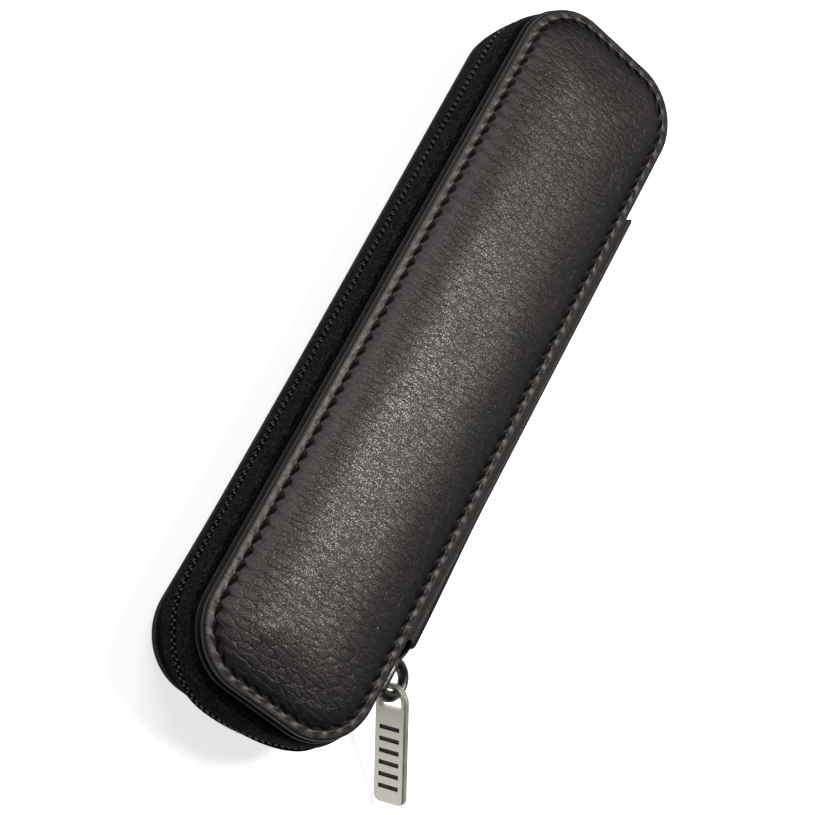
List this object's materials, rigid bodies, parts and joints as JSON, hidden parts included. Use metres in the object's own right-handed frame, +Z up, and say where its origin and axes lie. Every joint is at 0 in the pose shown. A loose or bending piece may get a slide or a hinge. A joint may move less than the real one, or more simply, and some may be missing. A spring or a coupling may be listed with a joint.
{
  "type": "fountain pen case",
  "caption": "Slim black leather case for fountain pens, with a zip round three sides, a leather spine and a flat metal puller on the slider.",
  "frame": {"origin": "centre of the back panel's flat resting face", "axes": "+Z up towards the front panel, +Y along the case away from the slider's end, +X towards the spine"},
  "size_m": [0.0655, 0.164, 0.0256],
  "materials": {
    "leather": "satin",
    "thread": "matte",
    "padding": "matte",
    "board": "matte",
    "lining": "matte",
    "tape": "matte",
    "coil": "satin",
    "elastic": "matte",
    "slider_metal": "gloss",
    "puller_metal": "satin"
  },
  "bodies": {
    "back_half": {"back_leather_panel": "leather", "back_seam_thread": "thread", "back_padding": "padding", "back_stiffener": "board", "back_lining": "lining", "back_welt": "leather", "back_zip_coil": "coil", "back_zip_stops": "slider_metal", "back_spine_turn_in": "leather", "back_zip_tape": "tape", "pen_loops": "elastic", "pen_loop_thread": "thread"},
    "spine": {"spine_strip": "leather", "spine_lining": "lining"},
    "front_half": {"front_leather_panel": "leather", "front_seam_thread": "thread", "front_padding": "padding", "front_stiffener": "board", "front_lining": "lining", "front_welt": "leather", "front_zip_coil": "coil", "front_zip_stops": "slider_metal", "front_spine_turn_in": "leather", "front_zip_tape": "tape", "front_zip_tape_end": "tape"},
    "slider": {"zip_slider": "slider_metal"},
    "puller": {"zip_puller": "puller_metal"}
  },
  "joints": [
    {"name": "spine_fold", "type": "hinge", "parent": "back_half", "child": "spine", "pos_m": [0.0224, 0, 0.00575], "axis": [0, 1, 0], "range_deg": [0, 60]},
    {"name": "cover_fold", "type": "hinge", "parent": "spine", "child": "front_half", "pos_m": [0.0224, 0, 0.01985], "axis": [0, 1, 0], "range_deg": [0, 60], "deforming": ["front_zip_tape_end"]},
    {"name": "slider_travel", "type": "hinge", "parent": "back_half", "child": "slider", "pos_m": [-0.0026, -0.0576, 0.0128], "axis": [0, 0, -1], "range_deg": [0, 85], "deforming": ["back_zip_coil", "front_zip_coil"]},
    {"name": "puller_swing", "type": "hinge", "parent": "slider", "child": "puller", "pos_m": [0.02729, -0.05738, 0.01124], "axis": [0.4305, 0, 0.9026], "range_deg": [-50, 0]}
  ],
  "couplings": [
    {"joint": "cover_fold", "follows": "spine_fold", "ratio": 1}
  ]
}
